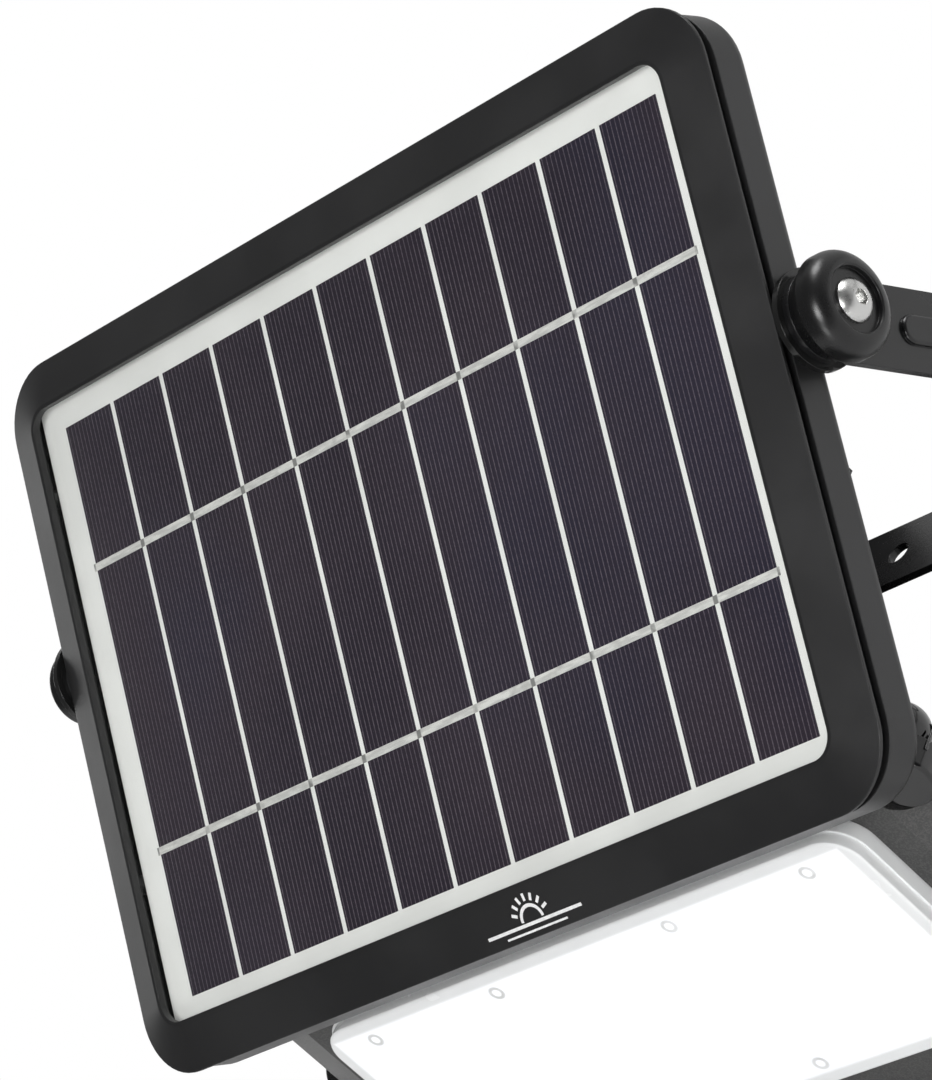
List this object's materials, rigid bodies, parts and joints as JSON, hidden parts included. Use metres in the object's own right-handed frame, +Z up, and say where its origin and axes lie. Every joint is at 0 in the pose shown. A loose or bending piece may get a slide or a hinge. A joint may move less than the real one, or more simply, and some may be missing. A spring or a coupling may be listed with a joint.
{
  "type": "solar flood light",
  "caption": "Wall-mounted flood light with a tilting solar panel on a yoke, knob-clamped pivots, a tilting diffused lamp head and a sprung mode button.",
  "frame": {"origin": "centre of the four wall holes, on the back face of the wall plate", "axes": "+X to the right seen from the front, +Y into the wall, +Z up; the lamp faces -Y"},
  "size_m": [0.298, 0.1775, 0.2412],
  "materials": {
    "bezel_plastic": "fine-textured satin black moulding",
    "cover_plastic": "satin black moulding",
    "solar_glass": "clear low-iron glass",
    "backsheet": "white laminate sheet",
    "silicon": "dark violet silicon under encapsulant",
    "ribbon": "tinned copper strip",
    "black_rubber": "soft black rubber",
    "pcb": "green circuit board",
    "components": "moulded electronic parts",
    "black_steel": "semi-gloss black powder coat",
    "stainless": "stainless steel",
    "zinc": "zinc-plated steel",
    "brass": "turned brass",
    "knob_plastic": "satin-gloss black knob",
    "cable_rubber": "black cable jacket",
    "gland_nylon": "black nylon",
    "lens_plastic": "translucent white diffuser",
    "frame_metal": "dark grey fine-textured paint",
    "shell_plastic": "high-gloss black moulding",
    "aluminium": "bare aluminium sheet",
    "white_board": "white solder mask",
    "led": "phosphor-coated emitter",
    "reflector": "white reflector",
    "cell_wrap": "shrink-wrapped cell",
    "dome": "milky sensor dome"
  },
  "bodies": {
    "bracket": {"wall_bracket": "black_steel", "panel_yoke": "black_steel", "lamp_yoke": "black_steel", "yoke_bolts": "zinc", "yoke_nuts": "zinc", "lamp_yoke_bolts": "zinc", "lamp_yoke_nuts": "zinc", "cable_clips": "gland_nylon", "clip_screws": "stainless", "link_cable": "cable_rubber"},
    "panel": {"panel_bezel": "bezel_plastic", "panel_glass": "solar_glass", "panel_gasket": "black_rubber", "solar_backsheet": "backsheet", "solar_cells": "silicon", "busbar_ribbons": "ribbon", "cell_leads": "ribbon", "junction_board": "pcb", "junction_parts": "components", "panel_rear_cover": "cover_plastic", "panel_screws": "stainless", "panel_pivot_inserts": "brass", "panel_toothed_discs": "gland_nylon", "panel_knob": "knob_plastic", "panel_pivot_cap": "knob_plastic", "panel_pivot_screws": "stainless", "panel_gland": "gland_nylon", "panel_cable": "cable_rubber"},
    "lamp": {"lamp_front_frame": "frame_metal", "lens_cover": "lens_plastic", "lens_gasket": "black_rubber", "lamp_rear_shell": "shell_plastic", "shell_gasket": "black_rubber", "frame_screws": "stainless", "heat_plate": "aluminium", "led_board": "white_board", "led_chips": "led", "reflector_tray": "reflector", "board_screws": "stainless", "battery_cells": "cell_wrap", "battery_holder": "components", "control_board": "pcb", "control_parts": "components", "mode_switch": "components", "pir_cover": "dome", "pir_board": "pcb", "pir_sensor": "stainless", "lamp_pivot_inserts": "brass", "lamp_toothed_discs": "gland_nylon", "corner_stud": "shell_plastic", "lamp_knob": "knob_plastic", "lamp_pivot_cap": "knob_plastic", "lamp_pivot_screws": "stainless", "lamp_gland": "gland_nylon", "lamp_cable": "cable_rubber", "button_guide": "gland_nylon", "button_spring": "stainless"},
    "button": {"mode_button": "black_rubber"}
  },
  "joints": [
    {"name": "panel_tilt", "type": "hinge", "parent": "bracket", "child": "panel", "pos_m": [0, -0.08911, 0.0532], "axis": [1, 0, 0], "range_deg": [-45, 0]},
    {"name": "lamp_tilt", "type": "hinge", "parent": "bracket", "child": "lamp", "pos_m": [0, -0.1359, -0.065], "axis": [1, 0, 0], "range_deg": [-25, 45]},
    {"name": "mode_button_press", "type": "slide", "parent": "lamp", "child": "button", "axis": [0, 0, 1], "range_m": [0, 0.0015], "stiffness_N_per_m": 600, "springref_m": -0.0005, "deforming": ["button_spring"]}
  ]
}
